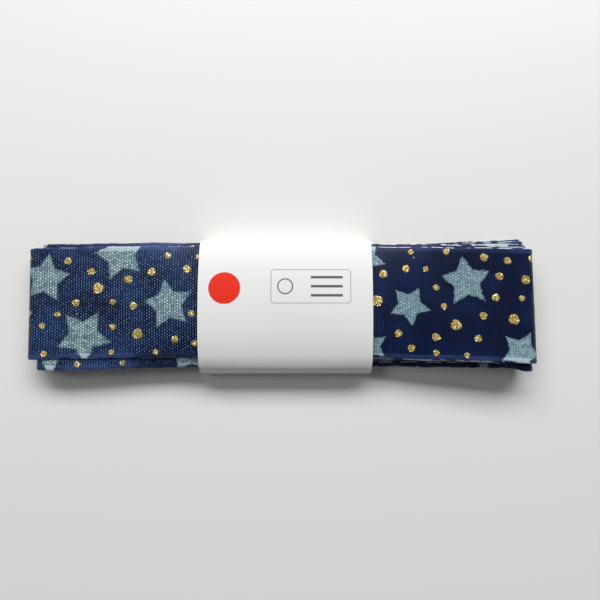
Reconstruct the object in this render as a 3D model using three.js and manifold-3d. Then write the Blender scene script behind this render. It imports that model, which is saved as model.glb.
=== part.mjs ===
// Hank of gift ribbon: a long strip of ribbon laid back and forth into a flat bundle with rounded
// ends, held round the middle by a paper belly band. Millimetres, +Z up, the hank lies along X and
// rests on z = 0. The near side of the hank is -Y.
import * as THREE from "three";
import { mergeVertices } from "three/addons/utils/BufferGeometryUtils.js";
import Module from "manifold-3d";

// Ribbon and hank
const RIBBON_WIDTH = 40;
const CORE_LAYERS = 5; // innermost layers, built as one slab
const TURNS = 6; // turns wound round the core, a layer above and a layer below for each
const WALL = 1.2; // a turn as built here, measured inwards, so that turns which touch join up
const LEFT_TIP = -92.1;
const RIGHT_TIP = 90.7;
const RIGHT_SLANT = 0.45; // the near edge of the right end reaches this much further, the far less
const BOW = 1.2; // the whole hank curves sideways by this much in its middle

// Heights
const TOP = 9.0; // top of the hank where nothing lifts it
const BAND_LIFT = 1.4; // the underside rises this much where the band passes beneath
const PUFF = 4.4; // the outermost turn stands up this much more at the right end
const PUFF_START = 34; // x where the right end begins to rise
const PUFF_EASE = 0.2; // share of the way to the tip over which it starts gently

// End bends from the core outwards. inset: how far the bend stops short of the hank's tip. side: how
// far the ribbon's middle line lies to the far side of the hank's own middle line at that bend.
const LEFT_BENDS = [
  { inset: 8.1, side: 0.8 },
  { inset: 7.2, side: -3.6 },
  { inset: 6.3, side: -1.8 },
  { inset: 5.4, side: -0.6 },
  { inset: 4.4, side: 1.3 },
  { inset: 3.2, side: -4.2 },
  { inset: 0.0, side: -0.2 },
];
const RIGHT_BENDS = [
  { inset: 4.5, side: -1.6, puff: 0.12 },
  { inset: 2.8, side: 3.8, puff: 0.15 },
  { inset: 1.8, side: 2.6, puff: 0.18 },
  { inset: 1.2, side: 1.4, puff: 0.22 },
  { inset: 0.7, side: 0.2, puff: 0.27 },
  { inset: 0.4, side: -4.3, puff: 0.34 },
  { inset: 0.0, side: -1.1, puff: 1.0 },
];
const BEND_DEPTH = 4.4; // along X, of the outermost bend
const BEND_STEP = 0.45; // each bend further in is this much shallower
const CORE_ROUNDING = [0.98, 0.85, 0.55]; // slices across the core's rounded ends, as shares of them
const BEND_PARTS = 8; // flat pieces round a bend
const RUN_PARTS = 17; // and along a run between two bends
const TAIL_END = 2; // x where the outer end stops, under the band
const TAIL_RAMP = 12; // length over which the layers above step down past that end

// Paper belly band
const BAND_CENTRE = 1.65;
const BAND_WIDTH = 61.5;
const BAND_WALL = 1.0;
const BAND_MARGIN = 4; // the hank's underside stays up this far beside the band
const BAND_RAMP = 14; // length over which it then comes down to the table
const BAND_OUTLINE_PARTS = 52; // flat pieces round the band
// Its outer outline across the hank, from the middle of the underside round by the far side
const BAND_OUTLINE = [
  { y: 0, z: 0 },
  { y: 20.6, z: 0 },
  { y: 23.4, z: 1.2 },
  { y: 24.2, z: 4.2 },
  { y: 23.9, z: 8.2 },
  { y: 21.0, z: 10.6 },
  { y: 11.0, z: 11.9 },
  { y: -2.0, z: 12.5 },
  { y: -13.0, z: 11.8 },
  { y: -20.4, z: 10.8 },
  { y: -25.0, z: 9.1 },
  { y: -25.8, z: 5.4 },
  { y: -24.9, z: 1.4 },
  { y: -22.2, z: 0 },
];

// Eases from 0 to 1 as t goes from 0 to 1
const smooth = (t) => THREE.MathUtils.smoothstep(t, 0, 1);

// Height of the hank's underside: it clears the band in the middle and lies on the table beside it.
function underside(x) {
  const beside = Math.abs(x - BAND_CENTRE) - BAND_WIDTH / 2 - BAND_MARGIN;
  return BAND_LIFT * (1 - smooth(beside / BAND_RAMP));
}

// Share of the right end's rise reached at x: quick at first, easing off towards the tip.
function puff(x) {
  const t = THREE.MathUtils.clamp((x - PUFF_START) / (RIGHT_TIP - PUFF_START), 0, 1);
  return (smooth(t / PUFF_EASE) * (t + Math.sin((t * Math.PI) / 2))) / 2;
}

// 1 where the tail of the ribbon lies under the hank, 0 beyond its end
const tailShare = (x) => smooth((x - TAIL_END) / TAIL_RAMP + 0.5);

// Height of a turn's outer face above or below the core. Turn 0 is the core itself.
function layerHeight(turn, upper, x) {
  const tail = tailShare(x);
  const layers = CORE_LAYERS + 2 * TURNS + tail;
  const pitch = (TOP - underside(x)) / layers;
  const middle = tail + TURNS + CORE_LAYERS / 2;
  const reach = turn + CORE_LAYERS / 2;
  const rise = upper ? RIGHT_BENDS[turn].puff * PUFF * puff(x) : 0;
  return underside(x) + (upper ? middle + reach : middle - reach) * pitch + rise;
}

// Sideways place of a layer that leaves one bend and arrives at another: it turns aside mostly
// towards the right end, where the layers fan out
function sideways(left, right, x) {
  const t = (x - LEFT_TIP) / (RIGHT_TIP - LEFT_TIP);
  const along = 2 * t - 1;
  return left.side + (right.side - left.side) * t * t + BOW * (1 - along * along);
}

// Where the bend of a turn begins, and its depth along X
const bendDepth = (turn) => BEND_DEPTH - (TURNS - turn) * BEND_STEP;
const leftStart = (turn) => LEFT_TIP + LEFT_BENDS[turn].inset + bendDepth(turn);
const rightStart = (turn) => RIGHT_TIP - RIGHT_BENDS[turn].inset - bendDepth(turn);

// Places along a straight run, both ends included
function stations(from, to, parts) {
  return Array.from({ length: parts + 1 }, (_, i) => from + ((to - from) * i) / parts);
}

// A half oval that carries the ribbon from one height to another at an end of the hank. sign is +1
// at the right end and -1 at the left one.
function bendPath(x, y, depth, sign, from, to) {
  return stations(0, Math.PI, BEND_PARTS)
    .slice(1, -1)
    .map((angle) => ({
      x: x + sign * depth * Math.sin(angle),
      y,
      z: (from + to) / 2 + ((from - to) / 2) * Math.cos(angle),
    }));
}

// One turn of the ribbon: along the top to the right and round the right bend, then back along the
// bottom and round the left bend to the next turn's top. The outermost one ends as the tail.
function turnPath(turn) {
  const last = turn === TURNS;
  const next = last ? turn : turn + 1;
  const [left, right, nextLeft] = [LEFT_BENDS[turn], RIGHT_BENDS[turn], LEFT_BENDS[next]];
  const lower = (x) => (last ? underside(x) : layerHeight(next, false, x));
  const path = [];
  const turnX = rightStart(turn);
  if (turn > 0) {
    for (const x of stations(leftStart(turn), turnX, RUN_PARTS)) {
      path.push({ x, y: sideways(left, right, x), z: layerHeight(turn, true, x) });
    }
    const from = layerHeight(turn, true, turnX);
    path.push(...bendPath(turnX, sideways(left, right, turnX), bendDepth(turn), 1, from, lower(turnX)));
  }
  const endX = last ? TAIL_END : leftStart(next);
  for (const x of stations(turnX, endX, RUN_PARTS)) {
    path.push({ x, y: sideways(nextLeft, right, x), z: lower(x) });
  }
  if (!last) {
    const y = sideways(nextLeft, right, endX);
    const to = layerHeight(next, true, endX);
    path.push(...bendPath(endX, y, bendDepth(next), -1, lower(endX), to), { x: endX, y, z: to });
  }
  return path;
}

// A closed solid from rings of four corners each, capped at both ends
function ringSolid(rings, wasm) {
  const faces = [0, 1, 2, 0, 2, 3];
  for (let i = 0; i + 1 < rings.length; i++) {
    for (let c = 0; c < 4; c++) {
      const [a, b] = [4 * i + c, 4 * i + ((c + 1) % 4)];
      faces.push(a, a + 4, b + 4, a, b + 4, b);
    }
  }
  const last = 4 * (rings.length - 1);
  faces.push(last, last + 2, last + 1, last, last + 3, last + 2);
  return new wasm.Manifold(
    new wasm.Mesh({
      numProp: 3,
      vertProperties: new Float32Array(rings.flat(2)),
      triVerts: new Uint32Array(faces),
    }),
  );
}

// The four corners where the ribbon's outer face and inner face are at these two places
function ring(outer, inner, y) {
  const half = RIBBON_WIDTH / 2;
  const corner = (p, across) => {
    return [p.x - across * RIGHT_SLANT * smooth(p.x / RIGHT_TIP), y + across * half, p.z];
  };
  return [corner(outer, -1), corner(outer, 1), corner(inner, 1), corner(inner, -1)];
}

// A turn as a wall on the inner side of its path, which is to the right of the way it runs
function turnSolid(turn, wasm) {
  const path = turnPath(turn);
  const rings = path.map((p, i) => {
    const a = path[Math.max(i - 1, 0)];
    const b = path[Math.min(i + 1, path.length - 1)];
    const length = Math.hypot(b.x - a.x, b.z - a.z);
    const inner = { x: p.x + ((b.z - a.z) / length) * WALL, z: p.z - ((b.x - a.x) / length) * WALL };
    return ring(p, inner, p.y);
  });
  return ringSolid(rings, wasm);
}

// The core slab, thinned to a rounded edge at both ends
function coreSolid(wasm) {
  const depth = bendDepth(0);
  const [from, to] = [leftStart(0), rightStart(0)];
  const round = CORE_ROUNDING.map((reach) => ({ reach, half: Math.sqrt(1 - reach * reach) }));
  const slices = [
    ...round.map(({ reach, half }) => ({ x: from - reach * depth, half })),
    ...stations(from, to, RUN_PARTS).map((x) => ({ x, half: 1 })),
    ...round.reverse().map(({ reach, half }) => ({ x: to + reach * depth, half })),
  ];
  const rings = slices.map(({ x, half }) => {
    const [low, high] = [layerHeight(0, false, x), layerHeight(0, true, x)];
    const [middle, spread] = [(low + high) / 2, ((high - low) / 2) * half];
    const y = sideways(LEFT_BENDS[0], RIGHT_BENDS[0], x);
    return ring({ x, z: middle + spread }, { x, z: middle - spread }, y);
  });
  return ringSolid(rings, wasm);
}

function toGeometry(solid) {
  const mesh = solid.getMesh();
  const geometry = new THREE.BufferGeometry();
  geometry.setAttribute("position", new THREE.BufferAttribute(mesh.vertProperties, 3));
  geometry.setIndex(new THREE.BufferAttribute(mesh.triVerts, 1));
  return geometry;
}

// The wound ribbon: the core and the turns round it, joined into one solid
function ribbonHank(wasm) {
  let hank = coreSolid(wasm);
  for (let turn = 0; turn <= TURNS; turn++) hank = hank.add(turnSolid(turn, wasm));
  return toGeometry(hank);
}

// The belly band, a closed loop round the middle of the hank
function paperBand() {
  const points = BAND_OUTLINE.map(({ y, z }) => new THREE.Vector3(y, z, 0));
  const curve = new THREE.CatmullRomCurve3(points, true, "centripetal");
  const outer = curve.getSpacedPoints(BAND_OUTLINE_PARTS).slice(0, -1);
  outer.forEach((p) => (p.y = Math.max(p.y, 0)));
  const inner = outer.map((p, i) => {
    const before = outer[(i + outer.length - 1) % outer.length];
    const after = outer[(i + 1) % outer.length];
    const along = after.clone().sub(before).normalize();
    return new THREE.Vector2(p.x - along.y * BAND_WALL, p.y + along.x * BAND_WALL);
  });
  const shape = new THREE.Shape(outer.map((p) => new THREE.Vector2(p.x, p.y)));
  shape.holes.push(new THREE.Path(inner));
  const geometry = new THREE.ExtrudeGeometry(shape, { depth: BAND_WIDTH, bevelEnabled: false });
  // drawn with y across and z up, then turned so that the extrusion runs along X
  geometry.applyMatrix4(new THREE.Matrix4().set(0, 0, 1, 0, 1, 0, 0, 0, 0, 1, 0, 0, 0, 0, 0, 1));
  geometry.translate(BAND_CENTRE - BAND_WIDTH / 2, 0, 0);
  geometry.deleteAttribute("normal");
  geometry.deleteAttribute("uv");
  return mergeVertices(geometry, 1e-4);
}

function node(name, geometry, colour, roughness) {
  geometry.computeVertexNormals();
  const material = new THREE.MeshStandardMaterial({ color: colour, roughness, metalness: 0 });
  const mesh = new THREE.Mesh(geometry, material);
  mesh.name = name;
  return mesh;
}

const wasm = await Module();
wasm.setup();
const model = new THREE.Group();
model.name = "ribbon_hank_with_band";
model.add(node("ribbon_hank", ribbonHank(wasm), 0x1b2a52, 0.75));
model.add(node("paper_band", paperBand(), 0xf2f2f0, 0.5));
export default model;
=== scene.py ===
# %% [markdown]
# # A flat hank of printed gift ribbon
#
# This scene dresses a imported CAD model: a long ribbon laid back and forth into a flat bundle, held
# round its middle by a paper belly band. The CAD solids give the size and the collision shape, and
# the meshes made here give the look. All sizes below are in millimetres, and they become metres only
# where a mesh is made.

from types import SimpleNamespace

import bpy
import numpy as np
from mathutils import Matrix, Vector


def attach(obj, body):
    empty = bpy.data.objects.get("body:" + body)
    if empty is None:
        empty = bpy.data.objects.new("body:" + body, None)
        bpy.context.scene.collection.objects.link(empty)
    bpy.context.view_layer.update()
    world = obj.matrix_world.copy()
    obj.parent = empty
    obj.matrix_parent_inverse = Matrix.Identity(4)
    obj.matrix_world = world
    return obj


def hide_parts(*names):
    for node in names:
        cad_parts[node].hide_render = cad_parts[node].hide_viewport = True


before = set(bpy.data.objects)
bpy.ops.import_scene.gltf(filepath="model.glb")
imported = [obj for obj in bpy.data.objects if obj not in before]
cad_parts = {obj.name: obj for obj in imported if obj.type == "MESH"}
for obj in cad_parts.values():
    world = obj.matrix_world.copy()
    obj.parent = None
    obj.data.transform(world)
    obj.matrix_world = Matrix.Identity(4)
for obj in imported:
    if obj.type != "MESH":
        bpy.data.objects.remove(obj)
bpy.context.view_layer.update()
rng = np.random.default_rng(40)
print("CAD nodes", sorted(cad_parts))

# %% [markdown]
# ## Sizes
#
# The real ribbon is laid back and forth, and no two of its turns come out alike, so the edges of
# inner layers show along both sides of the hank. Layers drawn one by one would have to be fitted to
# one another by hand. Here each end bend is one row of a small table, and functions work out the
# rest. The rows go from the core outwards. A row says how far the bend stops short of the hank's tip,
# how far the ribbon's middle line lies to the far side there, and at the right end how much of that
# end's rise the layer above the bend takes.

# %% Sizes in millimetres
RIBBON_WIDTH = 40.0
RIBBON_LENGTH = 3000.0
TURNS = 8  # layers above the innermost one, and as many below it
LEFT_TIP, RIGHT_TIP = -91.85, 90.45  # of the middle of the outermost layer
BEND_DEPTH, BEND_STEP = 4.15, 0.45  # of the outermost bend, and less for each one further in
BOW = 1.2  # the hank curves sideways by this much in its middle
SLANT = 0.45  # the near edge of the right end reaches this much further
TOP = 9.0
PUFF, PUFF_START, PUFF_EASE = 4.4, 34.0, 0.2  # rise of the right end, where it starts, and how gently
BAND_CENTRE, BAND_WIDTH = 1.65, 61.5
BAND_LIFT, BAND_MARGIN, BAND_RAMP = 0.8, 4.0, 14.0  # the hank's underside is raised over the band
TABLE_GAP = 0.24  # the glitter dots hold the lowest layers this far off the table
CROWN, DROOP, CROWN_FADE = 1.7, 2.1, 45.0  # the band squeezes the hank to an arch
TAIL_END, LAYER_RAMP = 2.0, 12.0  # the outer end lies under the band, and the stack steps down past it

LEFT_BENDS = np.array(
    [(9.8, -0.5), (9.0, -1.5), (8.1, 0.8), (7.2, -3.6), (6.3, -1.8), (5.4, -0.6), (4.4, 1.3)]
    + [(3.2, -4.2), (0.0, -0.2)],
    dtype=[("inset", float), ("side", float)],
)
RIGHT_BENDS = np.array(
    [(6.1, -0.5, 0.06), (5.3, 0.8, 0.09), (4.5, -1.6, 0.12), (2.8, 3.8, 0.15), (1.8, 2.6, 0.18)]
    + [(1.2, 1.4, 0.22), (0.7, 0.2, 0.27), (0.4, -4.3, 0.34), (0.0, -1.1, 1.0)],
    dtype=[("inset", float), ("side", float), ("puff", float)],
)
LEFT_X = LEFT_TIP + LEFT_BENDS["inset"] + BEND_DEPTH - (TURNS - np.arange(TURNS + 1)) * BEND_STEP
RIGHT_X = RIGHT_TIP - RIGHT_BENDS["inset"] - BEND_DEPTH + (TURNS - np.arange(TURNS + 1)) * BEND_STEP
print("bends start at x =", LEFT_X.round(1).tolist(), "and", RIGHT_X.round(1).tolist())

# %% [markdown]
# ## The stack of layers
#
# A run is one straight layer between two end bends. Even runs lie above the core and odd runs below
# it. A cloth simulation could drop the layers on one another, but then no edge would end up where
# the photo shows it. The heights come from one smooth map of the whole stack instead, which keeps
# the layers from crossing: they are packed closely under the band and spread out at the right end,
# where the outermost layer stands up on its own.

# %% Heights of the runs


def ease(t):
    """3t² - 2t³, with t held between 0 and 1."""
    t = np.clip(t, 0, 1)
    return t * t * (3 - 2 * t)


def underside(x):
    """Height of the hank's underside, raised in the middle where the band passes beneath it."""
    beside = np.abs(x - BAND_CENTRE) - BAND_WIDTH / 2 - BAND_MARGIN
    return TABLE_GAP + (BAND_LIFT - TABLE_GAP) * (1 - ease(beside / BAND_RAMP))


def puff(x):
    """Share of the right end's rise: the mean of t and sin(πt/2), eased in at its start."""
    t = np.clip((x - PUFF_START) / (RIGHT_TIP - PUFF_START), 0, 1)
    return ease(t / PUFF_EASE) * (t + np.sin(t * np.pi / 2)) / 2


def layer_height(run, x, core_end):
    """Height of a run's middle: the layers beneath it times the pitch of the stack at x. The core
    layer and the tail are only there on one side of their own ends, so both are counted as shares."""
    turn, upper = (run + 1) // 2, run % 2 == 0
    tail = ease((x - TAIL_END) / LAYER_RAMP + 1)
    core = ease((x - core_end) / LAYER_RAMP + 1)
    pitch = (TOP - underside(x)) / (2 * TURNS + core + tail)
    level = tail + TURNS + (core + turn - 0.5 if upper else 0.5 - turn)
    rise = RIGHT_BENDS["puff"][turn] * PUFF * puff(x) if upper else 0.0
    return underside(x) + np.maximum(level, 0.5) * pitch + rise


print(f"layers {(TOP - underside(LEFT_TIP)) / (2 * TURNS):.2f} mm apart at the left end")

# %% [markdown]
# ## Layers that lie askew
#
# Seen from above, a layer leaves one bend and arrives at the next one a few millimetres to the side.
# Right of the band two layers stray more than that. One slips back under the top layer and a low one
# sticks out, and between them opens the dark gap that shows along the near side.

# %% Places across the hank
HIGH_RUN, LOW_RUN = 14, 15  # the run that slips back, and the one that sticks out
SLIP, SLIP_START, SLIP_RAMP, SLIP_END_RAMP = 3.0, -16.0, 48.0, 12.0


def sideways(run, x):
    """Place across the hank: from one bend to the other with the square of the way along, as layers
    fan out mostly at the right end, plus the bow of the whole hank. The two stray runs are eased to
    their places from the band on."""
    turn = (run + 1) // 2
    left = LEFT_BENDS["side"][min(turn, TURNS)]
    right = RIGHT_BENDS["side"][turn if run % 2 == 0 else turn - 1]
    t = (x - LEFT_TIP) / (RIGHT_TIP - LEFT_TIP)
    slip = ease((x - SLIP_START) / SLIP_RAMP)
    share = slip if run == LOW_RUN else t**2
    back = SLIP * slip * ease((RIGHT_TIP - BEND_DEPTH - x) / SLIP_END_RAMP) if run == HIGH_RUN else 0
    return left + (right - left) * share + BOW * (1 - (2 * t - 1) ** 2) + back


print(f"the top layer lies at y = {sideways(2 * TURNS, RIGHT_X[-1]):.1f} mm at the right end")

# %% [markdown]
# ## One path for the whole ribbon
#
# The real hank is one ribbon, so it is one path here too, from the inner end in the core out to the
# tail under the band. A bend is half an oval between the heights of two runs. The ribbon's length is
# fixed, so the place of its inner end follows from the length of all the rest. The last runs show,
# so they get a finer mesh than those inside.

# %% Wind the ribbon
LAST_RUN = 2 * TURNS + 1
OUTER_RUN = 2 * TURNS - 2  # the first of the runs that show
FINE_RUN, PLAIN_RUN = 150, 50  # stations along a run
FINE_BEND, PLAIN_BEND = 28, 14  # and round a bend


def run_rows(run, core_end):
    """A run and the bend after it as rows of x, y, z. The bend's angle goes from 0 to pi: its sine
    times the bend's depth carries it outwards, and its cosine takes it from one height to the other."""
    turn, upper = (run + 1) // 2, run % 2 == 0
    fine = run >= OUTER_RUN
    left = TAIL_END if run == LAST_RUN else LEFT_X[turn] if run else core_end
    right = RIGHT_X[turn if upper else turn - 1]
    x = np.linspace(*((left, right) if upper else (right, left)), FINE_RUN if fine else PLAIN_RUN)
    rows = np.column_stack([x, sideways(run, x), layer_height(run, x, core_end)])
    if run == LAST_RUN:
        return rows
    low, high = sorted((layer_height(run, x[-1], core_end), layer_height(run + 1, x[-1], core_end)))
    angle = np.linspace(0, np.pi, FINE_BEND if fine else PLAIN_BEND)[1:-1, None]
    outwards = 1 if upper else -1
    depth = BEND_DEPTH - (TURNS - turn) * BEND_STEP
    bend = np.hstack(
        [
            x[-1] + outwards * depth * np.sin(angle),
            np.full_like(angle, rows[-1, 1]),
            (low + high) / 2 + outwards * (high - low) / 2 * np.cos(angle),
        ]
    )
    return np.vstack([rows, bend])


def lengths(rows):
    """Distance along a path up to each of its rows."""
    return np.concatenate([[0], np.cumsum(np.linalg.norm(np.diff(rows, axis=0), axis=1))])


inner_end = 0.0
for _ in range(3):
    wound = [run_rows(run, inner_end) for run in range(LAST_RUN + 1)]
    inner_end += lengths(np.vstack(wound))[-1] - RIBBON_LENGTH
path = np.vstack(wound)
along = lengths(path)
run_of = np.repeat(np.arange(LAST_RUN + 1), [len(rows) for rows in wound])
slope = np.gradient(path, along, axis=0)
outward = np.column_stack([-slope[:, 2], np.zeros(len(path)), slope[:, 0]])
outward /= np.linalg.norm(outward, axis=1, keepdims=True)
print(f"{along[-1]:.1f} mm of ribbon in {LAST_RUN + 1} runs, inner end at x = {inner_end:.1f} mm")

# %% [markdown]
# ## The ribbon's cross-section
#
# The web of the ribbon is thin and flat, and along both edges it is folded over a fine wire into a
# rounded hem. A flat strip with a Solidify modifier would give the web but not the hem. So the
# section is drawn: half of it is a short list of places across the ribbon and how thick it is there,
# and the whole is a closed loop, across the outer face and back along the inner one.

# %% Section of the ribbon
WEB, HEM = 0.26, 0.40  # thickness of each
HALF_SECTION = np.array(
    [(0, WEB), (4.5, WEB), (9, WEB), (13.5, WEB), (17, WEB), (18, WEB), (18.25, 0.31), (18.75, 0.38)]
    + [(19.2, HEM), (19.6, 0.34), (19.87, 0.2), (20, 0.0)]
)
across = np.concatenate([-HALF_SECTION[:0:-1, 0], HALF_SECTION[:, 0]])
thick = np.concatenate([HALF_SECTION[:0:-1, 1], HALF_SECTION[:, 1]])
section_v = np.concatenate([across, across[-2:0:-1]])
section_h = np.concatenate([thick / 2, -thick[-2:0:-1] / 2])
print(f"{len(section_v)} points round the section, {thick.max():.2f} mm thick at the hem")

# %% [markdown]
# ## Small waves
#
# A real wired edge never runs quite straight, and a stack of ribbon has shallow hollows. Noise could
# give both, but a few sines of unlike length are as uneven and are the same in every run.

# %% Waves of the hems and of the stack
RIPPLES = [(0.10, 3.1, 1), (0.08, 7.7, 2)]  # height, length over 2π, and how much the edges differ
RIPPLE_START, RIPPLE_RAMP = 15, 4
SAG_WAVES = [(0.10, 9.0, 14.0, 0.0), (0.08, 5.3, -9.0, 1.0), (0.10, 31.0, 8.0, 2.0)]  # height, a, b, start
END_RAMP = 12  # the stack's waves die away towards both ends over this length


def edge_ripple(u, v):
    """The hems waver sideways: two sines of the distance along, out of step at each edge."""
    swing = sum(height * np.sin(u / size + step * np.sign(v)) for height, size, step in RIPPLES)
    return swing * ease((np.abs(v) - RIPPLE_START) / RIPPLE_RAMP)


def sag(x, y):
    """Hollows and swells of the top: each wave is its height times the sine of x/a + y/b + start."""
    return sum(height * np.sin(x / a + y / b + start) for height, a, b, start in SAG_WAVES)


def arch(x, y):
    """Rise of the stack's middle and fall of its edges near the band: CROWN - DROOP times the fourth
    power of y over half the ribbon's width, fading out on both sides of the band."""
    beside = np.abs(x - BAND_CENTRE) - BAND_WIDTH / 2
    return (CROWN - DROOP * (y / (RIBBON_WIDTH / 2)) ** 4) * (1 - ease(beside / CROWN_FADE))


print(f"the middle of the hank rises {arch(BAND_CENTRE, 0.0):.1f} mm under the band")

# %% [markdown]
# ## Sweep the section along the path
#
# One function turns a place along the ribbon, a place across it and a lift off its middle into a
# point in space. The glitter uses it too, so the dots lie on the ribbon wherever it goes. Swept
# along the path, the section makes one closed sheet.

# %% Points and faces of the ribbon


def on_ribbon(u, v, lift):
    """A point of the ribbon from the distance along it, the place across it, and how far it is lifted
    off the middle of its thickness to the outer side. The waves grow with the height in the stack."""
    base = np.stack([np.interp(u, along, path[:, k]) for k in range(3)], axis=-1)
    normal = np.stack([np.interp(u, along, outward[:, k]) for k in range(3)], axis=-1)
    point = base + normal * lift[..., None]
    point[..., 1] += v + edge_ripple(u, v)
    point[..., 0] -= v / (RIBBON_WIDTH / 2) * SLANT * ease(point[..., 0] / RIGHT_TIP)
    share = np.clip(point[..., 2] / TOP, 0, 1) * ease((RIGHT_TIP - np.abs(point[..., 0])) / END_RAMP)
    point[..., 2] += share * (sag(*point[..., :2].T).T + arch(*point[..., :2].T).T)
    return point, normal


def sweep_faces(stations, ring):
    """Quads of a closed ring carried along some stations, with the two ends closed by quads between
    the ring's outer and inner side."""
    i, j = np.meshgrid(np.arange(stations - 1), np.arange(ring), indexing="ij")
    k = (j + 1) % ring
    sides = np.stack([i * ring + j, (i + 1) * ring + j, (i + 1) * ring + k, i * ring + k], axis=-1)
    a = np.arange(ring // 2)
    b = (ring - a) % ring
    cap = np.column_stack([a, a + 1, b - 1, b])
    last = (stations - 1) * ring
    quads = np.vstack([sides.reshape(-1, 4), cap[1:-1], cap[1:-1, ::-1] + last])
    tips = [(0, 1, ring - 1), (ring // 2 - 1, ring // 2, ring // 2 + 1)]
    return quads.tolist() + tips + [tuple(last + c for c in t[::-1]) for t in tips]


grid_u, grid_v = np.meshgrid(along, section_v, indexing="ij")
ribbon_points, _ = on_ribbon(grid_u, grid_v, np.broadcast_to(section_h, grid_u.shape))
ribbon_faces = sweep_faces(len(along), len(section_v))
ribbon_z = ribbon_points[..., 2]
print(f"the ribbon reaches from {ribbon_z.min():.2f} to {ribbon_z.max():.2f} mm above the table")

# %% [markdown]
# ## Make a mesh object
#
# Every piece goes through one function, which turns millimetres into metres and adds the UV maps.
# A UV map is given either for each vertex or for each face corner.

# %% Mesh helper


def add_mesh(name, points, faces, materials, maps=None, sharp=None):
    """Makes a mesh object from points in mm. maps is a dict of UV maps, one row of two numbers for
    each vertex or for each face corner. Edges sharper than sharp, in degrees, stay sharp."""
    mesh = bpy.data.meshes.new(name)
    mesh.from_pydata((points.reshape(-1, 3) / 1000).tolist(), [], faces)
    corner = np.empty(len(mesh.loops), dtype=np.int32)
    mesh.loops.foreach_get("vertex_index", corner)
    for title, uv in (maps or {}).items():
        values = uv if len(uv) == len(corner) else uv[corner]
        mesh.uv_layers.new(name=title).uv.foreach_set("vector", values.astype(np.float32).ravel())
    for material in materials:
        mesh.materials.append(material)
    mesh.shade_smooth()
    if sharp is not None:
        mesh.set_sharp_from_angle(angle=np.radians(sharp))
    thing = bpy.data.objects.new(name, mesh)
    bpy.context.collection.objects.link(thing)
    print(f"{name}: {len(mesh.polygons)} faces")
    return thing


# %% [markdown]
# ## Where the print lies
#
# The stars are printed on the ribbon in a repeat. A picture of one repeat could be wrapped along the
# ribbon, but its edges would be soft. Here each row of a table is one star: its place along and
# across the ribbon, its size to the tips in mm, and the way one tip points in degrees. Each face of
# the mesh takes its nearest star, and its corners get their place in that star's own frame, in units
# of its size. The material then needs to know only one star.

# %% Chart of the stars
REPEAT = 193.5  # with it the stars fall about right on the low layer that shows on the near side
top_run = run_of == 2 * TURNS
TOP_RUN_MIDDLE = np.interp(0, path[top_run][:FINE_RUN, 0], along[top_run][:FINE_RUN])
STARS = np.array(
    [
        (-84.5, 9.0, 8.8, 10),
        (-70.5, -12.0, 9.8, 58),
        (-57.5, 17.0, 9.4, 31),
        (-40.0, -1.0, 8.9, 28),
        (-20.5, -14.0, 8.6, 22),
        (-4.0, 10.0, 8.6, 12),
        (13.0, -3.0, 8.4, 60),
        (32.0, -15.5, 5.8, 33),
        (30.5, 15.5, 7.0, 58),
        (45.5, -1.0, 7.2, 60),
        (65.5, 8.0, 8.8, 25),
        (83.5, -16.0, 7.2, 63),
        (99.0, -5.0, 5.5, 20),
    ],
    dtype=[("along", float), ("across", float), ("size", float), ("tip", float)],
)
print(f"{len(STARS)} stars in a repeat of {REPEAT} mm")

# %% Star map


def star_places(face_corners, u, v):
    """Corner places in the frame of the star nearest to each face, by distance over star size.
    face_corners holds the vertex numbers of the quads, u and v the ribbon places of all vertices."""
    mid_u, mid_v = u[face_corners].mean(axis=1), v[face_corners].mean(axis=1)
    du = mid_u[:, None] - TOP_RUN_MIDDLE - STARS["along"]
    wrapped = (du + REPEAT / 2) % REPEAT - REPEAT / 2
    dv = mid_v[:, None] - STARS["across"]
    best = np.argmin(np.hypot(wrapped, dv) / STARS["size"], axis=1)
    pick = (np.arange(len(best)), best)
    local_u = u[face_corners] - (mid_u - wrapped[pick])[:, None]
    local_v = v[face_corners] - STARS["across"][best][:, None]
    turn, size = np.radians(STARS["tip"][best])[:, None], STARS["size"][best][:, None]
    return np.stack(
        [
            (local_u * np.cos(turn) + local_v * np.sin(turn)) / size,
            (local_v * np.cos(turn) - local_u * np.sin(turn)) / size,
        ],
        axis=-1,
    )


OFF_STAR = 3.0  # so many sizes away no star is drawn
flat_u, flat_v = grid_u.ravel(), grid_v.ravel()
quads = np.array([f for f in ribbon_faces if len(f) == 4])
triangles = len(ribbon_faces) - len(quads)
quad_places = star_places(quads, flat_u, flat_v).reshape(-1, 2)
star_uv = np.vstack([quad_places, np.full((3 * triangles, 2), OFF_STAR)])
print(f"star places for {len(star_uv)} face corners")

# %% [markdown]
# ## Colours and a node helper
#
# Colours are written as the sRGB codes that one would pick from a photo and made linear once. One
# function adds a node with its settings and its inputs, so that each line of a material below reads
# as one step.

# %% Colours and nodes


def linear(code, alpha=1.0):
    """sRGB hex code to linear colour: ((c + 0.055) / 1.055) to the power 2.4, or c / 12.92 if dark."""
    c = np.array([int(code[i : i + 2], 16) for i in (1, 3, 5)]) / 255
    return (*np.where(c <= 0.04045, c / 12.92, ((c + 0.055) / 1.055) ** 2.4).tolist(), alpha)


def new_material(name):
    """An empty material: the material itself and its node tree, which holds only the shader."""
    material = bpy.data.materials.new(name)
    material.use_nodes = True
    return material, material.node_tree


def node(tree, kind, inputs=(), out=0, **settings):
    """Adds a node, or with kind None takes the tree's shader. Inputs are a list in the node's order or
    a dict by name or number. One that is another node's output is linked, any other is set."""
    made = tree.nodes.new("ShaderNode" + kind) if kind else tree.nodes["Principled BSDF"]
    for key, value in settings.items():
        setattr(made, key, value)
    for key, value in (inputs if isinstance(inputs, dict) else dict(enumerate(inputs))).items():
        if isinstance(value, bpy.types.NodeSocket):
            tree.links.new(value, made.inputs[key])
        else:
            made.inputs[key].default_value = value
    return made.outputs[out]


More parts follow.
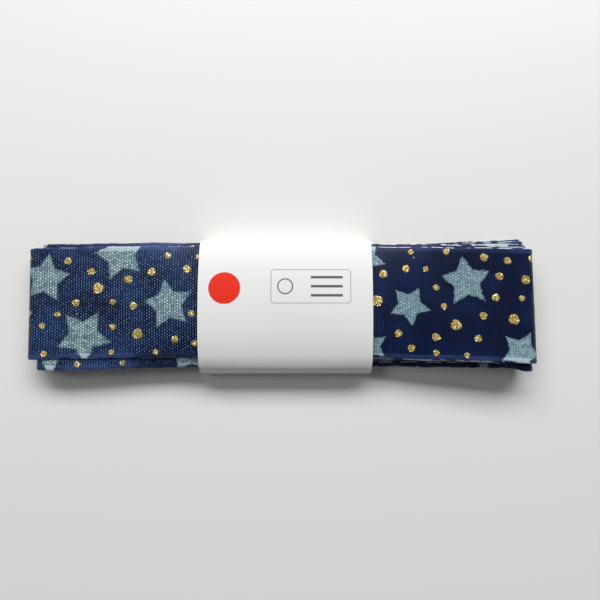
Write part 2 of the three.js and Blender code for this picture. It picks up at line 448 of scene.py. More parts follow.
SMOOTH = {"interpolation_type": "SMOOTHSTEP"}  # a map range with it: 0 below low, 1 above high
RGBA = {"out": 2, "data_type": "RGBA"}  # a mix node of colours has its sockets at 0, 6 and 7
print("navy in linear light", np.round(linear("#0b1a3f"), 3).tolist())

# %% [markdown]
# ## Taffeta: the weave
#
# The cloth is polyester taffeta, a plain weave of smooth filament yarn. It gives the eye fine ribs
# across the ribbon, with a small bright point wherever a thread comes up. Threads as geometry would
# take millions of faces, and a picture would blur close up. A UV map that counts threads is exact
# and cheap. The spacings are those that the photo shows.

# %% Weave nodes
WEFT, WARP = 0.92, 0.54  # spacing of the threads along and across the ribbon
threads = np.column_stack([flat_u / WEFT, (flat_v + RIBBON_WIDTH / 2) / WARP])
RIB, CREST, BAR = (0.15, 0.7), (0.7, 1.0), (0.1, 0.6)  # where a thread's profile starts and is full
RAISED = (0.0, 0.3)


def weave_of(t):
    """The weave as numbers from 0 to 1. A thread's profile is the size of the sine of its count times
    pi. Where the product of both sines is above 0, the thread across the ribbon lies on top."""
    count = node(t, "UVMap", uv_map="threads")
    turn = node(t, "VectorMath", [count, (np.pi, np.pi, 0)], operation="MULTIPLY")
    wave = node(t, "VectorMath", [turn], operation="SINE")
    profile = node(t, "VectorMath", [wave], operation="ABSOLUTE")
    wave_u, wave_v = (node(t, "SeparateXYZ", [wave], out=k) for k in (0, 1))
    profile_u, profile_v = (node(t, "SeparateXYZ", [profile], out=k) for k in (0, 1))
    over = node(t, "Math", [wave_u, wave_v], operation="MULTIPLY")
    cell = node(t, "VectorMath", [count], operation="FLOOR")
    rib = node(t, "MapRange", [profile_u, *RIB], **SMOOTH)
    crest = node(t, "MapRange", [profile_u, *CREST], **SMOOTH)
    bar = node(t, "MapRange", [profile_v, *BAR], **SMOOTH)
    raised = node(t, "MapRange", [over, *RAISED], **SMOOTH)
    crossing = node(t, "Math", [rib, bar], operation="MULTIPLY")
    return SimpleNamespace(
        count=count,
        profile=profile_u,
        rib=rib,
        raised=raised,
        # glint_spot: where a painted glint can sit, on a raised thread's crest
        glint_spot=node(t, "Math", [raised, crest], operation="MULTIPLY"),
        groove=node(t, "Math", [1.0, crossing], operation="SUBTRACT"),
        chance=node(t, "TexWhiteNoise", [cell], noise_dimensions="2D"),
    )


print(f"{RIBBON_LENGTH / WEFT:.0f} threads across the ribbon and {RIBBON_WIDTH / WARP:.0f} along it")

# %% [markdown]
# ## Taffeta: lustre and navy yarn
#
# Filament yarn shines in patches, and the photo has more shine left of the band than right of it.
# Real highlights would need every filament, so the change is painted as sheen, a slow blend between navies,
# with painted shade in the valleys between the ribs and a painted glint on each raised thread by chance.

# %% Navy nodes
PATCH_SCALE = 70.0  # of the noise to the metre: a patch of lustre is about 14 mm wide
LUSTRE = (0.38, 0.66)  # the noise between these goes from ground to the lighter navy of the painted sheen
SHINY_SIDE, DULL_SIDE = -0.03, 0.05  # x in m: the painted sheen is full left of the first and gone right of the second
# VALLEY_SHADE: how dark the painted shade between the ribs gets
HALO_DEPTH, VALLEY_SHADE = 0.3, 0.8
# GLINT and LEAST_GLINT set the painted glint on the raised threads.
GLINT, LEAST_GLINT = (0.1, 1.0, 0.08, 0.6), 0.008  # chance from and to, then strength from and to


def sheen_of(t):
    """Where the painted sheen goes, from the place in the hank: patches everywhere, and more to the left.
    """
    where = node(t, "TexCoord", out=3)
    side = node(t, "SeparateXYZ", [where])
    patches = node(t, "TexNoise", {"Vector": where, "Scale": PATCH_SCALE, "Detail": 3.0})
    return SimpleNamespace(
        where=where,
        shine=node(t, "MapRange", [side, DULL_SIDE, SHINY_SIDE], **SMOOTH),
        lustre=node(t, "MapRange", [patches, *LUSTRE], **SMOOTH),
    )


def navy_of(t, weave, sheen, halo):
    """Colour of the dyed yarn with painted sheen: ground and the lighter sheen navy by lustre, darker round
    a star, painted shade between the ribs, and a painted glint on each raised thread by that thread's
    chance."""
    # Painted sheen: both navies are lighter on the left, and the lustre patches blend in the lighter one.
    sheen_navy = node(t, "Mix", {0: sheen.shine, 6: linear("#10234c"), 7: linear("#1b3564")}, **RGBA)
    ground = node(t, "Mix", {0: sheen.shine, 6: linear("#091636"), 7: linear("#0b1a3f")}, **RGBA)
    navy = node(t, "Mix", {0: sheen.lustre, 6: ground, 7: sheen_navy}, **RGBA)
    dull = node(t, "Math", [halo, HALO_DEPTH], operation="MULTIPLY")
    navy = node(t, "Mix", {0: dull, 6: navy, 7: linear("#040c26")}, **RGBA)
    # Painted shade: darker in the valleys between the ribs.
    valley_shade = node(t, "Math", [1.0, weave.rib], operation="SUBTRACT")
    valley_shade = node(t, "Math", [valley_shade, VALLEY_SHADE], operation="MULTIPLY")
    navy = node(t, "Mix", {0: valley_shade, 6: navy, 7: linear("#040920")}, **RGBA)
    # Painted glint: a pale point on each raised thread by its chance, stronger on the shiny side.
    glint = node(t, "MapRange", [weave.chance, *GLINT])
    glint = node(t, "Math", [glint, sheen.shine], operation="MULTIPLY")
    glint = node(t, "Math", [glint, LEAST_GLINT], operation="ADD")
    glint = node(t, "Math", [glint, weave.glint_spot], operation="MULTIPLY")
    return node(t, "Mix", {0: glint, 6: navy, 7: linear("#8fb4cc")}, **RGBA)


print(f"shine fades from x = {SHINY_SIDE * 1000:.0f} to {DULL_SIDE * 1000:.0f} mm")

# %% [markdown]
# ## Taffeta: the printed stars
#
# The stars are a pale pigment print, which sits on the raised threads and misses the grooves. So it
# gives the eye a chalky grey-blue with the weave showing through, and its rim is broken up thread by
# thread. The weave in the print also carries painted shade in the grooves and painted highlights on the
# threads, both stronger on the shiny side. A star is the distance to a straight edge, folded five times
# round the star's middle, which keeps its tips sharp at any size.

# %% Star nodes
STAR_WAIST = 0.53  # the inner corners of a star, as a share of its size
STAR_EDGE = np.array([STAR_WAIST * np.sin(np.pi / 5), 1 - STAR_WAIST * np.cos(np.pi / 5)])
STAR_EDGE = (STAR_EDGE / np.hypot(*STAR_EDGE)).tolist()  # the way a star's edge faces
BROKEN_RIM = 0.07  # a thread can miss the print by this share of the star's size
STAR_RIM, HALO = (0.075, 0.0), (0.42, 0.12)  # distances at which the print and its dark halo go from 0 to 1
# SHEEN_CONTRAST: how strongly the painted shade and highlights of the weave show in the print
SHEEN_CONTRAST = (0.5, 1.0)  # contrast of the print's threads on the dull side and on the shiny one


def star_of(t, chance):
    """Distance beyond the star's edge: the place's reach times the cosine between it and the way the
    edge faces, less the edge's own distance. The angle is folded first, which makes one edge of ten."""
    star = node(t, "UVMap", uv_map="star")
    star_x, star_y = (node(t, "SeparateXYZ", [star], out=k) for k in (0, 1))
    angle = node(t, "Math", [star_y, star_x], operation="ARCTAN2")
    angle = node(t, "Math", [angle, np.pi / 5, -np.pi / 5], operation="WRAP")
    angle = node(t, "Math", [angle], operation="ABSOLUTE")
    reach = node(t, "VectorMath", [star], out=1, operation="LENGTH")
    cosine = node(t, "Math", [angle], operation="COSINE")
    sine = node(t, "Math", [angle], operation="SINE")
    folded = node(t, "CombineXYZ", [cosine, sine, 0.0])
    facing = node(t, "VectorMath", [folded, (*STAR_EDGE, 0)], out=1, operation="DOT_PRODUCT")
    beyond = node(t, "Math", [reach, facing, -STAR_EDGE[0]], operation="MULTIPLY_ADD")
    return node(t, "Math", [chance, BROKEN_RIM, beyond], operation="MULTIPLY_ADD")


def ink_of(t, weave, sheen):
    """Colour of the print: two greys by the thread's chance, bare cloth with painted shade in the grooves,
    and painted highlights where the raised threads are lit, both stronger on the shiny side."""
    # Painted sheen: the weave shows more strongly in the print on the left side.
    sheen_contrast = node(t, "MapRange", [sheen.shine, 0.0, 1.0, *SHEEN_CONTRAST])
    ink = node(t, "Mix", {0: weave.chance, 6: linear("#6b8a98"), 7: linear("#88a7b0")}, **RGBA)
    # Bare cloth in the grooves, deepened as painted shade on the shiny side.
    bare = node(t, "Math", [weave.groove, sheen_contrast], operation="MULTIPLY")
    ink = node(t, "Mix", {0: bare, 6: ink, 7: linear("#26475c")}, **RGBA)
    # Painted highlight on the raised threads.
    lit = node(t, "Math", [weave.raised, weave.chance], operation="MULTIPLY")
    lit = node(t, "Math", [lit, sheen_contrast], operation="MULTIPLY")
    return node(t, "Mix", {0: lit, 6: ink, 7: linear("#cfded9")}, **RGBA)


print("a star's edge faces", np.round(STAR_EDGE, 3).tolist())

# %% [markdown]
# ## Taffeta: hems and rims
#
# The folded hem lies tight round its wire, so it looks smoother than the web and hides its threads. Its
# lighter colour, and that of the print on it, is painted sheen. Its outer edge is bound with white thread,
# which with painted glints shows as a broken pale line along the stack. Both are bands of the distance
# from the ribbon's middle, and noise breaks the white up.

# %% Hem nodes
HEM_START, HEM_EASE, HEM_COVER = 17.9, 0.6, 0.7  # from the ribbon's middle, and how much it hides
# The white rim along the hem's edge is part white thread and part painted glint.
RIM_START, RIM_EASE = 19.7, 0.2
FRAY_SCALE = 380.0  # of the noise to the metre: a white stretch is 2 to 3 mm long
FRAY = (0.42, 0.55)  # the noise between these goes from bare to white
RIM_ON_SHINY_SIDE = 0.35  # share of the white that is left on the shiny side


def hem_over(t, cloth, weave, sheen, in_star):
    """Lays the hem and the print on it, both lightened as painted sheen, over the cloth, and then the white
    rim, part thread and part painted glint.
    """
    across = node(t, "SeparateXYZ", [weave.count], out=1)
    across = node(t, "Math", [across, WARP, -RIBBON_WIDTH / 2], operation="MULTIPLY_ADD")
    across = node(t, "Math", [across], operation="ABSOLUTE")
    hem = node(t, "MapRange", [across, HEM_START, HEM_START + HEM_EASE, 0.0, HEM_COVER], **SMOOTH)
    # Painted sheen: the hem is a lighter navy, more so in the lustre patches, and the print on it a lighter
    # grey.
    hem_sheen = node(t, "Mix", {0: sheen.lustre, 6: linear("#1d2b52"), 7: linear("#36487a")}, **RGBA)
    colour = node(t, "Mix", {0: in_star, 6: hem_sheen, 7: linear("#bdd0d6")}, **RGBA)
    cloth = node(t, "Mix", {0: hem, 6: cloth, 7: colour}, **RGBA)
    # White rim: part white edge thread and part painted glint, broken up by noise.
    fray = node(t, "TexNoise", {"Vector": sheen.where, "Scale": FRAY_SCALE, "Detail": 1.0})
    fray = node(t, "MapRange", [fray, *FRAY], **SMOOTH)
    rim = node(t, "MapRange", [across, RIM_START, RIM_START + RIM_EASE], **SMOOTH)
    rim = node(t, "Math", [rim, fray], operation="MULTIPLY")
    # Less of the white rim and its painted glint on the shiny side.
    rim_fade = node(t, "MapRange", [sheen.shine, 0.0, 1.0, 1.0, RIM_ON_SHINY_SIDE])
    rim = node(t, "Math", [rim, rim_fade], operation="MULTIPLY")
    return node(t, "Mix", {0: rim, 6: cloth, 7: linear("#dfe5ea")}, **RGBA)


print(f"hems {RIBBON_WIDTH / 2 - HEM_START:.1f} mm wide")

# %% [markdown]
# ## Taffeta: the whole material
#
# The parts are laid over one another as the ribbon is made: yarn, print, hem and rim. The yarn is
# smooth but the cloth is ribbed, so it has a middling roughness. The threads stand up by a few
# hundredths of a millimetre, which is bump, and little of a flat surface's reflection is left.

# %% Ribbon material
THREAD_HEIGHT = 0.04
RAISED_HEIGHT = 0.6  # of a raised thread over the others, as a share of a thread's own profile


def ribbon_material():
    """Printed taffeta from the weave, the lustre and the stars."""
    material, t = new_material("printed polyester taffeta")
    weave, sheen = weave_of(t), sheen_of(t)
    beyond = star_of(t, weave.chance)
    in_star = node(t, "MapRange", [beyond, *STAR_RIM], **SMOOTH)
    halo = node(t, "MapRange", [beyond, *HALO], **SMOOTH)
    navy, ink = navy_of(t, weave, sheen, halo), ink_of(t, weave, sheen)
    cloth = node(t, "Mix", {0: in_star, 6: navy, 7: ink}, **RGBA)
    cloth = hem_over(t, cloth, weave, sheen, in_star)
    height = node(t, "Math", [weave.raised, RAISED_HEIGHT, weave.profile], operation="MULTIPLY_ADD")
    bump = node(t, "Bump", {"Height": height, "Strength": 1.0, "Distance": THREAD_HEIGHT / 1000})
    look = {"Base Color": cloth, "Roughness": 0.45, "Normal": bump, "Specular IOR Level": 0.15}
    node(t, None, look)
    return material


taffeta = ribbon_material()
print(f"{taffeta.name}: {len(taffeta.node_tree.nodes)} nodes")

# %% Ribbon
ribbon_maps = {"threads": threads, "star": star_uv}
ribbon = add_mesh("ribbon", ribbon_points, ribbon_faces, [taffeta], ribbon_maps)
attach(ribbon, "root")
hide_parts("ribbon_hank")

# %% [markdown]
# ## Glitter dots
#
# Between the stars the ribbon has dots of gold glitter, set on in glue. Those that show are charted
# like the stars, each with its width, and the last two are flakes that strayed. Out of sight they
# are scattered: a place is taken if it keeps its distance from the stars and from all dots so far.

# %% Chart of the dots
DOT_COLUMNS = [("along", float), ("across", float), ("width", float)]
DOTS = [
    (-76.5, 15.0, 2.6), (-68.0, 11.0, 2.6), (-65.5, 5.0, 4.0), (-54.5, 8.0, 3.0), (-46.0, 10.5, 2.8),
    (-40.5, 16.5, 2.4), (-33.5, 11.5, 2.8), (-73.5, 0.0, 2.8), (-60.0, 0.0, 2.2), (-52.5, -1.5, 2.8),
    (-80.0, -4.0, 2.0), (-85.5, -8.0, 2.2), (-60.0, -9.0, 2.2), (-51.0, -11.5, 3.8), (-31.5, -4.5, 2.4),
    (-37.5, -13.5, 2.6), (-30.5, -15.0, 2.4), (-84.5, -18.0, 2.4), (-60.5, -18.0, 2.2), (-44.5, -18.0, 2.0),
    (46.5, 18.0, 2.0), (59.0, 18.5, 2.4), (72.0, 16.5, 2.8), (80.0, 15.5, 2.6), (36.5, 10.0, 3.0),
    (44.5, 12.0, 2.6), (51.5, 12.0, 2.0), (55.0, 5.5, 2.2), (77.0, 10.0, 2.8), (86.0, 9.0, 3.2),
    (34.0, 0.5, 4.0), (75.5, 2.5, 2.8), (84.5, 2.5, 2.2), (57.5, -1.0, 2.2), (71.0, -4.0, 2.6),
    (61.5, -7.5, 3.8), (81.5, -5.0, 3.8), (41.5, -11.0, 2.6), (54.5, -12.0, 2.8), (69.0, -12.0, 2.6),
    (46.0, -16.0, 2.6), (54.5, -17.5, 2.2), (65.0, -18.0, 2.0), (-91.0, 16.0, 2.4), (-90.5, -3.5, 2.0),
    (-29.5, 16.0, 2.0), (88.5, 16.5, 2.4), (47.5, 16.0, 0.7), (-73.0, -4.0, 0.6),
]  # fmt: skip
HIDDEN_DOT_WIDTHS = (2.0, 2.6, 2.8, 3.9)
DOT_SPACING = 7.5
SCATTER_TRIES, SCATTER_BOX = 3000, ((-91, -18.5), (104, 18.5))
CHART_END = 91  # past this the print goes round the right end, out of sight

# %% Scatter the hidden dots


def star_clearance(place):
    """How far a place on the print lies from the nearest star, less the star's size."""
    du = (place[0] - STARS["along"] + REPEAT / 2) % REPEAT - REPEAT / 2
    return np.min(np.hypot(du, place[1] - STARS["across"]) - STARS["size"])


for place in rng.uniform(*SCATTER_BOX, (SCATTER_TRIES, 2)):
    in_sight = abs(place[0] - BAND_CENTRE) > BAND_WIDTH / 2 and place[0] < CHART_END
    known = np.array(DOTS)
    du = (place[0] - known[:, 0] + REPEAT / 2) % REPEAT - REPEAT / 2
    near_dot = np.hypot(du, place[1] - known[:, 1]).min() < DOT_SPACING
    if not in_sight and not near_dot and star_clearance(place) > 0:
        DOTS.append((*place, rng.choice(HIDDEN_DOT_WIDTHS)))
DOTS = np.array(DOTS, dtype=DOT_COLUMNS)
print(f"{len(DOTS)} dots in a repeat")

# %% Repeat the dots along the ribbon
COPIES = np.arange(-12, 2)  # of the repeat: none of them reaches the first layers, in the core
END_MARGIN = 3  # no dot is cut by the ribbon's ends
EDGE_PART = 15  # inside the hank only dots this far from the ribbon's middle can be seen

dot_u = (TOP_RUN_MIDDLE + DOTS["along"] + COPIES[:, None] * REPEAT).ravel()
dot_v, dot_size = (np.tile(DOTS[column], len(COPIES)) for column in ("across", "width"))
dot_run = run_of[np.clip(np.searchsorted(along, dot_u), 0, len(along) - 1)]
on_print = (dot_u > END_MARGIN) & (dot_u < RIBBON_LENGTH - END_MARGIN)
shown = on_print & ((dot_run >= OUTER_RUN) | (np.abs(dot_v) > EDGE_PART))
dot_u, dot_v, dot_size, dot_run = (a[shown] for a in (dot_u, dot_v, dot_size, dot_run))
print(f"{len(dot_u)} dots modelled")

# %% [markdown]
# ## Pats of glue
#
# A glitter dot starts as a pat of glue, low and domed, with a rim that isn't quite round. Flattened
# spheres would be too even. Each pat here is a small lens of four rings that follows the ribbon, its
# underside sunk into the cloth, and all pats are one mesh.

# %% Shape of the pats
RIM = 14  # points round a ring
PAT_RINGS = np.array([(0.55, 0.06), (0.88, 0.045), (1.0, -0.02), (0.9, -0.08)])  # reach, lift in mm
PAT_TOP, PAT_BOTTOM = 0.07, -0.09  # lift of the two middle points
WOBBLES = [(0.09, 3, 1), (0.05, 5, -1)]  # share of the reach, waves to a turn, and way of turning
PAT_LIMIT, FLAKE_LIMIT = 19.7, 19.6  # from the ribbon's middle, so that nothing hangs over its edge


def surface_lift(v):
    """Half the ribbon's thickness at a place across it."""
    return np.interp(np.abs(v), HALF_SECTION[:, 0], HALF_SECTION[:, 1] / 2)


def pat_points():
    """For each pat four rings, a top and a bottom point. A ring's reach is the dot's radius times the
    ring's share times a wobble, 1 plus two sines of the angle."""
    turn = np.arange(RIM) * 2 * np.pi / RIM
    wobble = 1 + sum(share * np.sin(waves * turn + way * dot_u[:, None]) for share, waves, way in WOBBLES)
    reach = dot_size[:, None, None] / 2 * wobble[:, None, :] * PAT_RINGS[:, 0, None]
    u = dot_u[:, None, None] + reach * np.cos(turn)
    v = np.clip(dot_v[:, None, None] + reach * np.sin(turn), -PAT_LIMIT, PAT_LIMIT)
    rings, _ = on_ribbon(u, v, surface_lift(v) + PAT_RINGS[:, 1, None])
    base = surface_lift(dot_v)
    ends = [on_ribbon(dot_u, dot_v, base + lift)[0][:, None] for lift in (PAT_TOP, PAT_BOTTOM)]
    return np.concatenate([rings.reshape(len(dot_u), -1, 3), *ends], axis=1)


def pat_faces():
    """Of one pat: the quads between its rings, and the triangles at its top and its bottom."""
    a = np.arange(RIM)
    b = (a + 1) % RIM
    inner = np.arange(len(PAT_RINGS) - 1)[:, None] * RIM
    quads = np.stack(np.broadcast_arrays(inner + a, inner + RIM + a, inner + RIM + b, inner + b), axis=-1)
    outer, top = inner[-1] + RIM, np.full(RIM, len(PAT_RINGS) * RIM)
    fans = np.vstack([np.column_stack([top, a, b]), np.column_stack([outer + a, top + 1, outer + b])])
    return quads.reshape(-1, 4), fans


def for_each(faces, count, points_each):
    """The same faces for many like parts whose points follow one another in a mesh."""
    first = np.arange(count)[:, None, None] * points_each
    return (first + faces).reshape(-1, faces.shape[1]).tolist()


print(f"{len(pat_points()) * sum(len(f) for f in pat_faces())} faces for all pats")

# %% [markdown]
# ## Flakes of foil
#
# In the glue lie small six-sided flakes of coloured foil at all angles, about six to a square
# millimetre. It is these that sparkle: one flake mirrors a lamp and the next doesn't. A noise in the
# bump would twinkle alike from everywhere, so the flakes are real: flat hexagons with a low point on
# each side, which closes them and lets every facet catch the light on its own.

# %% Shape of the flakes
OUTER_FLAKES, INNER_FLAKES = 4.6, 2.0  # times the square of a dot's width: fewer inside the hank
DOT_FILL = 0.92  # the share of a pat's area that has flakes
FLAKE_LIFT, FLAKE_REACH, FLAKE_TIP = (0.05, 0.10), (0.14, 0.27), 0.18  # tip as a share of the reach
TILT_SPREAD = 0.42
FLAKE_FACES = [(6, i, (i + 1) % 6) for i in range(6)] + [(7, (i + 1) % 6, i) for i in range(6)]


def flake_points():
    """Of each flake six corners round its middle and two tips along the way it faces, which is the
    ribbon's normal with a normally spread tilt."""
    share = np.where(dot_run >= OUTER_RUN, OUTER_FLAKES, INNER_FLAKES)
    home = np.repeat(np.arange(len(dot_u)), (share * dot_size**2).astype(int))
    turn, reach = rng.uniform(0, 2 * np.pi, len(home)), np.sqrt(rng.uniform(0, DOT_FILL, len(home)))
    u = dot_u[home] + dot_size[home] / 2 * reach * np.cos(turn)
    v = dot_v[home] + dot_size[home] / 2 * reach * np.sin(turn)
    v = np.clip(v, -FLAKE_LIMIT, FLAKE_LIMIT)
    centre, normal = on_ribbon(u, v, surface_lift(v) + rng.uniform(*FLAKE_LIFT, len(home)))
    facing = normal + rng.normal(0, TILT_SPREAD, normal.shape)
    facing /= np.linalg.norm(facing, axis=1, keepdims=True)
    side = np.cross(facing, rng.normal(size=facing.shape))
    side /= np.linalg.norm(side, axis=1, keepdims=True)
    other = np.cross(facing, side)
    size = rng.uniform(*FLAKE_REACH, len(home))[:, None, None]
    angle = np.arange(6) * np.pi / 3
    rim = np.cos(angle)[:, None] * side[:, None] + np.sin(angle)[:, None] * other[:, None]
    tips = np.stack([facing, -facing], axis=1) * FLAKE_TIP
    return centre[:, None] + size * np.concatenate([rim, tips], axis=1)


# %% [markdown]
# ## Glue and foil
#
# The glue is a clear binder full of fine gold dust: a dull yellow plastic that fills the gaps between
# the flakes. The flakes are metallised foil, which mirrors like metal but is creased, so it scatters
# the light a little. They differ, so there are three foils: a pale one that sparkles nearly white, a
# gold one, and a bronze one that reads as the shade between them.

# %% Glitter materials and pieces


def plain_finish(name, code, roughness, metallic):
    """A material without a pattern, for parts too small to show one."""
    material, t = new_material(name)
    node(t, None, {"Base Color": linear(code), "Metallic": metallic, "Roughness": roughness})
    return material


pats = pat_points()
quads, fans = (for_each(faces, *pats.shape[:2]) for faces in pat_faces())
glue_finish = plain_finish("gold glitter glue", "#b39b54", 0.5, 0.0)
glue = add_mesh("glitter_glue", pats, quads + fans, [glue_finish])
foils = [
    plain_finish("pale gold foil", "#fff8cf", 0.3, 1.0),
    plain_finish("gold foil", "#f3dc8c", 0.45, 1.0),
    plain_finish("bronze foil", "#8f7430", 0.5, 1.0),
]
flakes = flake_points()
foil_of = np.repeat(rng.integers(0, len(foils), len(flakes)), len(FLAKE_FACES))
glitter = add_mesh("glitter_flakes", flakes, for_each(np.array(FLAKE_FACES), *flakes.shape[:2]), foils)
glitter.data.polygons.foreach_set("material_index", foil_of.astype(np.int32))
glitter.data.shade_flat()
for piece in (glue, glitter):
    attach(piece, "root")
print(f"{len(flakes)} flakes")

# %% [markdown]
# ## Paper belly band
#
# The band is one strip of paper. It starts under the hank, goes up the far side, arches over the top,
# comes down the near side and ends glued over its own beginning. Paper bends one way only, so the
# band is its line seen from the end, carried straight along the hank. A few points give the line,
# and a smooth curve through them rounds the corners as stiff paper does.

# %% Line of the band
PAPER = 0.25
BAND_LINE = np.array(
    [(-8, 0.13), (7, 0.13), (20.8, 0.13), (22.6, 1.5), (23.1, 4.6), (22.4, 7.8), (20.3, 9.7)]
    + [(16, 10.9), (10, 11.8), (3, 12.3), (-4, 12.4), (-11, 12.0), (-16.5, 11.2), (-20.4, 10.2)]
    + [(-23.6, 8.4), (-25.1, 5.4), (-25.5, 2.0), (-24.4, 0.4), (-21.5, 0.13), (-15, 0.13)]
    + [(-9.6, 0.16), (-7.4, 0.48), (0, 0.48), (5, 0.48)]
)
FLOOR_CLEARANCE = 0.005


def smooth_line(points, step=0.5):
    """A Catmull-Rom curve: each stretch is the cubic that passes through both of its points with the
    slope that their neighbours give, sampled about every step."""
    padded = np.vstack([2 * points[0] - points[1], points, 2 * points[-1] - points[-2]])
    stretches = []
    for before, start, end, after in zip(padded, padded[1:], padded[2:], padded[3:]):
        t = np.linspace(0, 1, max(2, round(float(np.linalg.norm(end - start)) / step)), endpoint=False)
        t = t[:, None]
        slope_in, slope_out = (end - before) / 2, (after - start) / 2
        cubic = (2 * t**3 - 3 * t**2 + 1) * start + (3 * t**2 - 2 * t**3) * end
        stretches.append(cubic + (t**3 - 2 * t**2 + t) * slope_in + (t**3 - t**2) * slope_out)
    return np.vstack(stretches + [points[-1:]])


band_line = smooth_line(BAND_LINE)
band_line[:, 1] = np.maximum(band_line[:, 1], PAPER / 2 + FLOOR_CLEARANCE)
band_length = lengths(band_line)
tangent = np.gradient(band_line, band_length, axis=0)
tangent /= np.linalg.norm(tangent, axis=1, keepdims=True)
print(f"belly band: a strip {BAND_WIDTH} by {band_length[-1]:.1f} mm")

# %% [markdown]
# ## The strip along the band's line
#
# The strip's section is a long thin ring, tapered at the two cut edges so that it closes. Over the
# top the paper isn't quite even, so a slow wave is added there. A UV map in millimetres of the flat
# strip starts where the line crosses the hank's middle on top.

# %% Points of the band
STRIP_STATIONS, CUT_EDGE = 25, 0.03  # stations across the strip, and the width of the tapered edge
WAVE_START, WAVE_RAMP = 8, 3  # heights over which the paper's wave comes in
WAVE_HEIGHT, WAVE_X, WAVE_Y = 0.08, 9, 13
TOP_PART = 9.5  # above this the band lies over the hank

paper_x = np.linspace(-BAND_WIDTH / 2 + CUT_EDGE, BAND_WIDTH / 2 - CUT_EDGE, STRIP_STATIONS)
paper_x = np.concatenate([[-BAND_WIDTH / 2], paper_x, [BAND_WIDTH / 2]])
paper_t = np.full(len(paper_x), PAPER)
paper_t[[0, -1]] = 0
ring_x = np.concatenate([paper_x, paper_x[-2:0:-1]])
ring_t = np.concatenate([paper_t, -paper_t[-2:0:-1]]) / 2
line, place = band_line[:, None, :], ring_x[None, :]
band_points = np.stack(
    [
        np.broadcast_to(place + BAND_CENTRE, (len(band_line), len(ring_x))),
        line[..., 0] + tangent[:, None, 1] * ring_t,
        line[..., 1] - tangent[:, None, 0] * ring_t,
    ],
    axis=-1,
)
over_hank = ease((band_line[:, 1] - WAVE_START) / WAVE_RAMP)[:, None]
band_points[..., 2] += over_hank * WAVE_HEIGHT * np.sin(place / WAVE_X + line[..., 0] / WAVE_Y)
band_faces = [f[::-1] for f in sweep_faces(len(band_line), len(ring_x))]
top_part = band_line[:, 1] > TOP_PART
over_top = np.interp(0.0, -band_line[top_part, 0], band_length[top_part])
from_top = (over_top - band_length)[:, None]
band_uv = np.stack(np.broadcast_arrays(place + BAND_CENTRE, from_top), axis=-1).reshape(-1, 2)
print(f"the band's crown is {band_points[..., 2].max():.1f} mm high")

# %% [markdown]
# ## Coated paper and its plain print
#
# The band is white coated paper, which gives the eye a clean white with a soft, low gloss. Its print
# is a disc, a thin frame with round corners, a small ring and three bars. Curves would lie over the
# paper as pieces of their own. As distances in millimetres on the flat strip the shapes stay crisp
# and bend with it: a mask is 1 where such a distance is below 0.

# %% Print on the paper
DISC = {"middle": (-19.8, 5.3, 0), "radius": 5.6}
RING = {"middle": (1.6, 5.9, 0), "radius": 2.6, "half_line": 0.22}
FRAME = {"middle": (10.6, 5.9, 0), "half": (14.0, 5.9), "corner": 1.0, "half_line": 0.09}
BARS = {"middle": (16.2, 5.9, 0), "half": (5.6, 0.45), "spacing": 3.2, "count": 3}
PRINT_EDGE = 0.06  # half the width over which the ink ends


def reach_from(t, flat, middle):
    """Distance of a place on the flat strip from a point."""
    place = node(t, "VectorMath", [flat, middle], operation="SUBTRACT")
    return node(t, "VectorMath", [place], out=1, operation="LENGTH")


def past(t, value, half):
    """How far a distance of either sign lies past half a width: made positive, less the half."""
    value = node(t, "Math", [value], operation="ABSOLUTE")
    return node(t, "Math", [value, half], operation="SUBTRACT")


def line_of(t, distance, size, half_line):
    """Distance beyond a line drawn along an outline."""
    return past(t, node(t, "Math", [distance, size], operation="SUBTRACT"), half_line)


def frame_of(t, flat):
    """Distance beyond the frame's line. Past the straight parts it is measured round the corner."""
    place = node(t, "VectorMath", [flat, FRAME["middle"]], operation="SUBTRACT")
    place = node(t, "VectorMath", [place], operation="ABSOLUTE")
    straight = (FRAME["half"][0] - FRAME["corner"], FRAME["half"][1] - FRAME["corner"], 0)
    place = node(t, "VectorMath", [place, straight], operation="SUBTRACT")
    place = node(t, "VectorMath", [place, (0, 0, 0)], operation="MAXIMUM")
    reach = node(t, "VectorMath", [place], out=1, operation="LENGTH")
    return line_of(t, reach, FRAME["corner"], FRAME["half_line"])


def bars_of(t, flat):
    """Distance beyond the nearest bar: one bar wrapped over its spacing, cut off past the last."""
    place = node(t, "VectorMath", [flat, BARS["middle"]], operation="SUBTRACT")
    bar_x, bar_y = (node(t, "SeparateXYZ", [place], out=k) for k in (0, 1))
    beside = past(t, bar_x, BARS["half"][0])
    outside = past(t, bar_y, BARS["spacing"] * BARS["count"] / 2)
    over = node(t, "Math", [bar_y, BARS["spacing"] / 2, -BARS["spacing"] / 2], operation="WRAP")
    off = node(t, "Math", [beside, past(t, over, BARS["half"][1])], operation="MAXIMUM")
    return node(t, "Math", [off, outside], operation="MAXIMUM")


print(f"the frame is {2 * FRAME['half'][0]:.0f} by {2 * FRAME['half'][1]:.1f} mm")

# %% Paper material


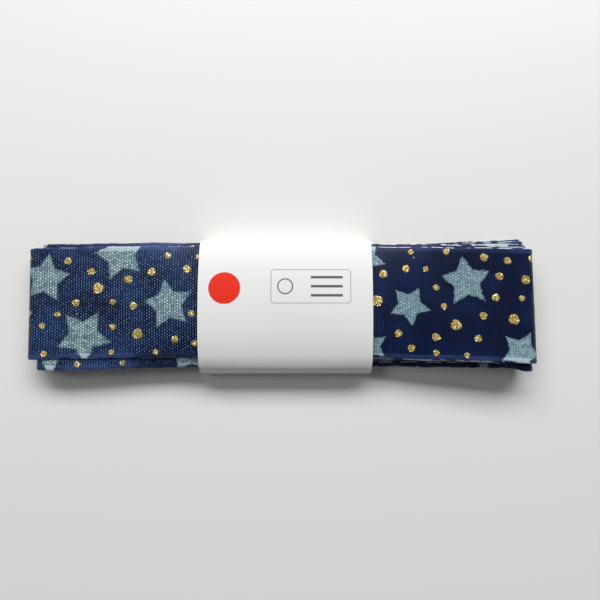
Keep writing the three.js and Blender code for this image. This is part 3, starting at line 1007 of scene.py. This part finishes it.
def paper_material():
    """White coating with grey line work and a red disc."""
    material, t = new_material("coated belly band paper")
    flat = node(t, "UVMap", uv_map="flat")
    ink = {"From Min": PRINT_EDGE, "From Max": -PRINT_EDGE}
    off_disc = node(t, "Math", [reach_from(t, flat, DISC["middle"]), DISC["radius"]], operation="SUBTRACT")
    disc = node(t, "MapRange", {"Value": off_disc, **ink})
    off_ring = line_of(t, reach_from(t, flat, RING["middle"]), RING["radius"], RING["half_line"])
    nearest = node(t, "Math", [frame_of(t, flat), off_ring], operation="MINIMUM")
    nearest = node(t, "Math", [nearest, bars_of(t, flat)], operation="MINIMUM")
    grey = node(t, "MapRange", {"Value": nearest, **ink})
    colour = node(t, "Mix", {0: grey, 6: linear("#ebecea"), 7: linear("#5f6164")}, **RGBA)
    colour = node(t, "Mix", {0: disc, 6: colour, 7: linear("#ea2c14")}, **RGBA)
    node(t, None, {"Base Color": colour, "Roughness": 0.5, "Specular IOR Level": 0.3})
    return material


SHARP = 40  # degrees: the cut edges stay crisp
band = add_mesh("paper_belly_band", band_points, band_faces, [paper_material()], {"flat": band_uv}, SHARP)
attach(band, "root")
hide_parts("paper_band")

# %% [markdown]
# ## Floor and camera
#
# The hank lies on a pale laminate table with an even, half-matt finish, which shows little more than
# the shadow. The camera looks down from a little over 15 cm, slightly from the near side, with a
# phone's wide lens: so close, the puffed end looks larger than the rest.

# %% Floor and camera
FLOOR_REACH = 900.0
LENS, SENSOR, CLIP_START = 26, 36, 0.01
TILT = np.radians(2.3)
CAMERA_DISTANCE = 155.0
CAMERA_TARGET = np.array([6.8, 1.2, 9.0])

table, table_tree = new_material("pale laminate table")
node(table_tree, None, {"Base Color": linear("#e9e9e6"), "Roughness": 0.5})
floor_corners = np.array([(-1, -1, 0), (1, -1, 0), (1, 1, 0), (-1, 1, 0)]) * FLOOR_REACH
floor = add_mesh("floor", floor_corners, [(0, 1, 2, 3)], [table])

camera_data = bpy.data.cameras.new("camera")
camera_data.lens, camera_data.sensor_width, camera_data.clip_start = LENS, SENSOR, CLIP_START
camera = bpy.data.objects.new("camera", camera_data)
back = np.array([0, -np.sin(TILT), np.cos(TILT)])
camera.location = (CAMERA_TARGET + back * CAMERA_DISTANCE) / 1000
camera.rotation_euler = (TILT, 0, 0)
bpy.context.collection.objects.link(camera)
bpy.context.scene.camera = camera
print(f"camera {camera.location.z * 1000:.0f} mm above the table")

# %% [markdown]
# ## Light
#
# The photo has one wide soft light on the far side, like a row of windows, which throws the shadow to
# the near side. A weaker one from above and to the left gives the threads their shine, and a dim room
# fills the shadow. The Standard view transform keeps the red, the navy and the white as they are set.

# %% Lamps and room


def area_light(name, place, aim, size, watts):
    """A rectangular lamp at a place in metres, turned towards a point."""
    data = bpy.data.lights.new(name, "AREA")
    data.shape, data.size, data.size_y, data.energy = "RECTANGLE", *size, watts
    lamp = bpy.data.objects.new(name, data)
    lamp.location = place
    away = Vector(place) - Vector(aim)
    lamp.rotation_euler = away.to_track_quat("Z", "Y").to_euler()
    bpy.context.collection.objects.link(lamp)


area_light("far windows", (0.1, 1.14, 0.92), (0, 0, 0), (2.2, 0.48), 33)
area_light("side window", (-0.9, 0.5, 1.2), (0, 0, 0), (0.5, 0.5), 3.0)
bpy.context.scene.view_settings.view_transform = "Standard"
world = bpy.data.worlds.new("room")
world.use_nodes = True
room_light = world.node_tree.nodes["Background"]
room_light.inputs["Color"].default_value = linear("#f4f6fa")
room_light.inputs["Strength"].default_value = 0.115
bpy.context.scene.world = world
